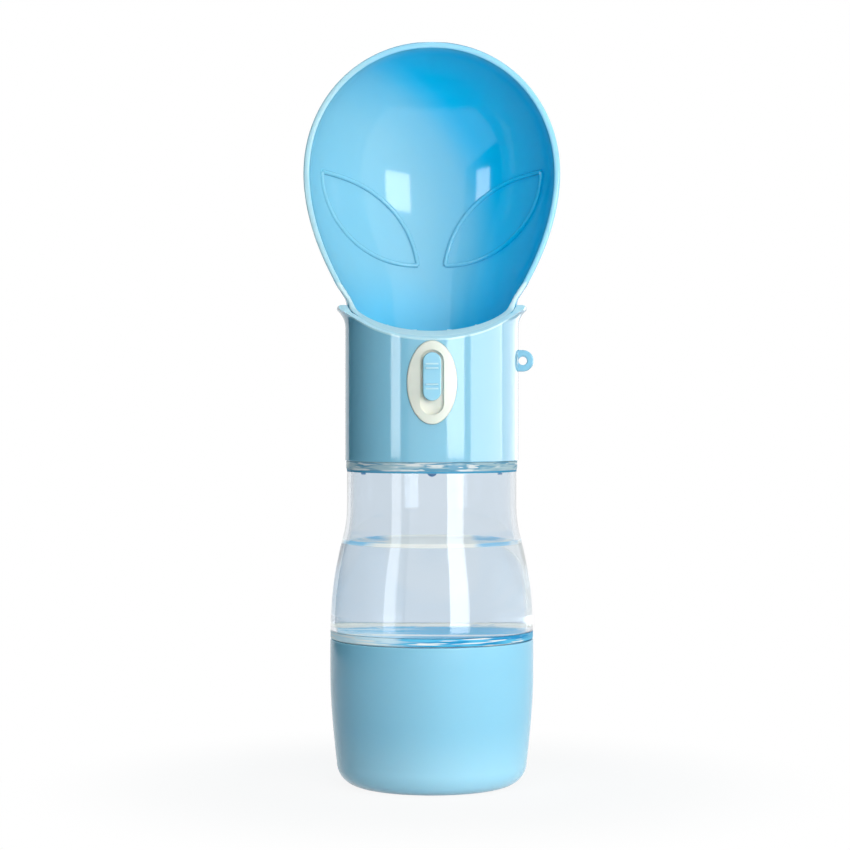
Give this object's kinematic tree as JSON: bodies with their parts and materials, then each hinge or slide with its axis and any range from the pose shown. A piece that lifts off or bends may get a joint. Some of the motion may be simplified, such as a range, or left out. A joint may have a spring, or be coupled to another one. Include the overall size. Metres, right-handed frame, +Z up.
{
  "type": "dog travel water bottle",
  "caption": "Travel water bottle for a dog: scoop bowl on a collar with a slide switch, clear screw-on bottle and a screw-on food cup.",
  "frame": {"origin": "centre of the base, on the surface it stands on", "axes": "+Z up along the bottle's axis; the switch and the bowl's mouth face -Y; the strap lug is on +X"},
  "size_m": [0.0944, 0.075, 0.2734],
  "materials": {
    "shell_blue": "smooth glossy moulding",
    "bowl_blue": "smooth glossy moulding",
    "cap_blue": "smooth moulding",
    "button_blue": "satin moulding",
    "cream_plastic": "satin moulding",
    "clear_plastic": "clear polished",
    "silicone": "matt translucent",
    "valve_white": "satin moulding",
    "black_rubber": "matt",
    "steel": "plain stainless"
  },
  "bodies": {
    "cup": {"food_cup": "shell_blue"},
    "cup_seal": {"cup_gasket": "silicone"},
    "bottle": {"bottle": "clear_plastic", "bottle_base": "clear_plastic"},
    "neck_seal": {"neck_gasket": "silicone"},
    "head": {"collar": "shell_blue", "inner_cap": "cap_blue", "bowl": "bowl_blue", "switch_bezel": "cream_plastic"},
    "switch": {"switch_button": "button_blue", "button_screw": "steel", "carriage": "cream_plastic", "valve_tube": "valve_white", "tube_clip": "steel", "valve_plug": "silicone", "lower_o_ring": "black_rubber", "upper_o_ring": "black_rubber", "detent_spring": "steel"}
  },
  "joints": [
    {"name": "bottle_lift", "type": "slide", "parent": "cup", "child": "cup_seal", "axis": [0, 0, 1], "range_m": [0, 0.0101]},
    {"name": "bottle_unscrew", "type": "hinge", "parent": "cup_seal", "child": "bottle", "pos_m": [0, 0, 0.054], "axis": [0, 0, 1], "range_deg": [0, 720]},
    {"name": "head_lift", "type": "slide", "parent": "bottle", "child": "neck_seal", "axis": [0, 0, 1], "range_m": [0, 0.0121]},
    {"name": "head_unscrew", "type": "hinge", "parent": "neck_seal", "child": "head", "pos_m": [0, 0, 0.131], "axis": [0, 0, 1], "range_deg": [0, 720]},
    {"name": "switch_slide", "type": "slide", "parent": "head", "child": "switch", "axis": [0, 0, -1], "range_m": [0, 0.004]}
  ],
  "couplings": [
    {"joint": "bottle_lift", "follows": "bottle_unscrew", "m_per_rad": 0.00079577},
    {"joint": "head_lift", "follows": "head_unscrew", "m_per_rad": 0.00095493}
  ]
}
